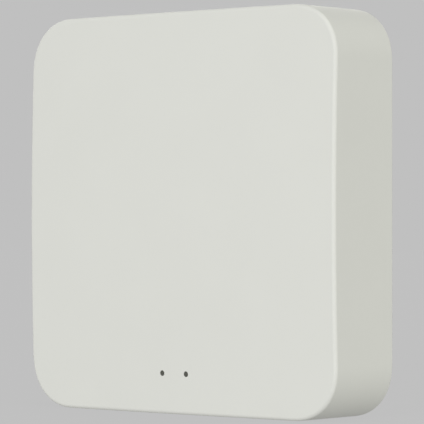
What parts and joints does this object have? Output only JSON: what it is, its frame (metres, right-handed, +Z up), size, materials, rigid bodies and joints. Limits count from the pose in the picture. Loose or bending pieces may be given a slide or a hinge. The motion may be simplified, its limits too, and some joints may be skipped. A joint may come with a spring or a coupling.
{
  "type": "smart home hub",
  "caption": "Square, rounded radio gateway hub with a slightly domed matte face, two indicator holes, network and power sockets, a reset button, rubber feet and wall keyholes.",
  "frame": {"origin": "middle of the bottom of the object's box, as it stands on its lower edge", "axes": "+Z up through the top wall that holds the sockets; -Y is the way the front face looks; +X is to the right of a person who faces the front"},
  "size_m": [0.09, 0.0228, 0.09],
  "materials": {
    "casing_plastic": "off-white moulded ABS with a fine, even matte grain",
    "foot_rubber": "dark grey moulded rubber",
    "screw_steel": "zinc-plated steel",
    "board_laminate": "glass-epoxy board under green solder resist",
    "chip_epoxy": "black moulding epoxy",
    "connector_plastic": "black glass-filled nylon",
    "tinned_steel": "tin-plated sheet steel",
    "contact_gold": "gold-plated bronze wire",
    "inductor_ferrite": "pressed ferrite powder",
    "capacitor_can": "drawn aluminium can",
    "smoked_acrylic": "smoke-grey acrylic",
    "led_package": "white package with a yellow phosphor window",
    "label_film": "blank grey polyester sticker"
  },
  "bodies": {
    "casing": {"front_cover": "casing_plastic", "rear_cover": "casing_plastic", "foot_lower_left": "foot_rubber", "foot_lower_right": "foot_rubber", "foot_upper_left": "foot_rubber", "foot_upper_right": "foot_rubber", "case_screw_lower_left": "screw_steel", "case_screw_lower_right": "screw_steel", "case_screw_upper_left": "screw_steel", "case_screw_upper_right": "screw_steel", "board_screw_lower_left": "screw_steel", "board_screw_lower_right": "screw_steel", "board_screw_upper_left": "screw_steel", "board_screw_upper_right": "screw_steel", "main_board": "board_laminate", "radio_board": "board_laminate", "main_processor": "chip_epoxy", "memory_chip": "chip_epoxy", "flash_chip": "chip_epoxy", "network_transformer": "chip_epoxy", "voltage_regulator": "chip_epoxy", "ethernet_insert": "connector_plastic", "usb_socket_tongue": "connector_plastic", "switch_body": "connector_plastic", "light_shroud": "connector_plastic", "ethernet_shield": "tinned_steel", "usb_socket_shell": "tinned_steel", "switch_frame": "tinned_steel", "radio_shield": "tinned_steel", "crystal": "tinned_steel", "ethernet_contacts": "contact_gold", "power_inductor_input": "inductor_ferrite", "power_inductor_core": "inductor_ferrite", "input_capacitor": "capacitor_can", "output_capacitor": "capacitor_can", "light_guide": "smoked_acrylic", "network_led": "led_package", "radio_led": "led_package", "rating_label": "label_film"},
    "reset_button": {"reset_button": "casing_plastic"},
    "switch_plunger": {"switch_plunger": "connector_plastic"}
  },
  "joints": [
    {"name": "reset_button_press", "type": "slide", "parent": "casing", "child": "reset_button", "axis": [0, 0, -1], "range_m": [0, 0.0004], "stiffness_N_per_m": 3000},
    {"name": "switch_plunger_press", "type": "slide", "parent": "casing", "child": "switch_plunger", "axis": [0, 0, -1], "range_m": [0, 0.0004], "stiffness_N_per_m": 500}
  ],
  "couplings": [
    {"joint": "switch_plunger_press", "follows": "reset_button_press", "ratio": 1}
  ]
}
